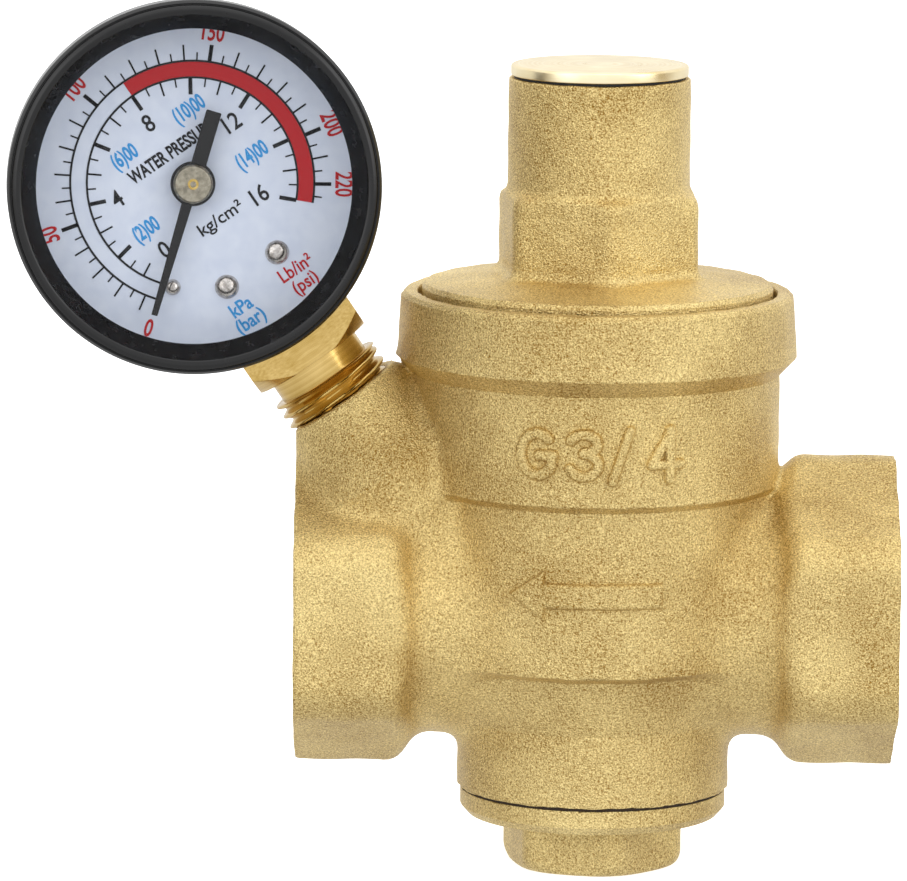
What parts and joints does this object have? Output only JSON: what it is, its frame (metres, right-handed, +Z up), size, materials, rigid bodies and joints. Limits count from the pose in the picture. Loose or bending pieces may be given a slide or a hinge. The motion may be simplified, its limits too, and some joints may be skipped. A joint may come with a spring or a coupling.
{
  "type": "pressure reducing valve",
  "caption": "Direct-acting piston pressure reducing valve with threaded hexagonal ports, a spring housing with adjuster and a side-mounted dial gauge.",
  "frame": {"origin": "centre of the inlet port's face, on the flow axis", "axes": "+X out of the inlet port along the flow axis, +Z up along the spindle, gauge face towards -Y, turned 5 degrees to the inlet side"},
  "size_m": [0.0999, 0.0446, 0.0988],
  "materials": {
    "cast_brass": "sand-blasted forging",
    "machined_brass": "turned",
    "movement_brass": "stamped",
    "tube_bronze": "drawn",
    "steel_zinc": "zinc plated",
    "spring_steel": "oiled spring wire",
    "rubber": "moulded",
    "fibre": "pressed fibre",
    "case_steel": "zinc plated",
    "bezel_black": "gloss black",
    "lens_clear": "clear",
    "dial_print": "satin print",
    "pointer_black": "satin black"
  },
  "bodies": {
    "valve_body": {"body": "cast_brass", "bonnet": "cast_brass", "bonnet_gasket": "fibre", "bottom_cap": "cast_brass", "bottom_gasket": "fibre", "main_spring": "spring_steel", "gauge_socket": "machined_brass", "gauge_case": "case_steel", "gauge_bezel": "bezel_black", "gauge_lens": "lens_clear", "lens_ring": "rubber", "gauge_dial": "dial_print", "dial_screws": "steel_zinc", "dial_posts": "movement_brass", "stop_pin": "steel_zinc", "hairspring": "tube_bronze", "bourdon_tube": "tube_bronze", "front_plate": "movement_brass", "rear_plate": "movement_brass", "plate_pillars": "movement_brass", "movement_screws": "steel_zinc", "case_screws": "steel_zinc"},
    "piston": {"piston": "machined_brass", "piston_ring": "rubber", "stem_washer": "steel_zinc", "valve_disc": "rubber", "disc_holder": "machined_brass", "disc_nut": "steel_zinc"},
    "spring_seat": {"upper_spring_seat": "steel_zinc"},
    "adjuster": {"adjusting_screw": "machined_brass"},
    "cap_seal": {"cap_seal": "rubber"},
    "top_cap": {"top_cap": "machined_brass"},
    "pointer": {"gauge_pointer": "pointer_black", "pointer_hub": "movement_brass", "pinion_arbor": "movement_brass"},
    "sector": {"sector_gear": "movement_brass"},
    "link": {"link": "movement_brass"},
    "tube_tip": {"tube_tip": "movement_brass"}
  },
  "joints": [
    {"name": "piston_travel", "type": "slide", "parent": "valve_body", "child": "piston", "axis": [0, 0, 1], "range_m": [0, 0.0034], "stiffness_N_per_m": 2000, "springref_m": -0.005, "deforming": ["main_spring"]},
    {"name": "adjuster_travel", "type": "slide", "parent": "valve_body", "child": "spring_seat", "axis": [0, 0, 1], "range_m": [-0.005, 0.0025]},
    {"name": "adjuster_turn", "type": "hinge", "parent": "spring_seat", "child": "adjuster", "pos_m": [-0.03375, 0, 0.048], "axis": [0, 0, 1], "range_deg": [-1200.5, 600.5]},
    {"name": "cap_lift", "type": "slide", "parent": "valve_body", "child": "cap_seal", "axis": [0, 0, 1], "range_m": [0, 0.0054]},
    {"name": "cap_turn", "type": "hinge", "parent": "cap_seal", "child": "top_cap", "pos_m": [-0.03375, 0, 0.058], "axis": [0, 0, 1], "range_deg": [0, 1296.5]},
    {"name": "pointer_turn", "type": "hinge", "parent": "valve_body", "child": "pointer", "pos_m": [-0.07945, 0, 0.0483], "axis": [-0.0718, 0.9962, -0.0494], "range_deg": [0, 264.3], "stiffness_Nm_per_rad": 0.001, "springref_deg": -17.19, "deforming": ["hairspring", "bourdon_tube"]},
    {"name": "sector_turn", "type": "hinge", "parent": "valve_body", "child": "sector", "pos_m": [-0.07492, 0, 0.04171], "axis": [-0.0718, 0.9962, -0.0494], "range_deg": [-49.04, 0]},
    {"name": "link_turn", "type": "hinge", "parent": "sector", "child": "link", "pos_m": [-0.07045, 0.0003, 0.04127], "axis": [-0.0718, 0.9962, -0.0494], "range_deg": [0, 49.04]},
    {"name": "tip_turn", "type": "hinge", "parent": "valve_body", "child": "tube_tip", "pos_m": [-0.07945, 0, 0.0483], "axis": [-0.0718, 0.9962, -0.0494], "range_deg": [-17.21, 0]}
  ],
  "couplings": [
    {"joint": "adjuster_turn", "follows": "adjuster_travel", "rad_per_m": 4188.8},
    {"joint": "cap_turn", "follows": "cap_lift", "rad_per_m": 4188.8},
    {"joint": "sector_turn", "follows": "pointer_turn", "ratio": -0.18518},
    {"joint": "link_turn", "follows": "pointer_turn", "ratio": 0.18518},
    {"joint": "tip_turn", "follows": "pointer_turn", "ratio": -0.064744}
  ]
}
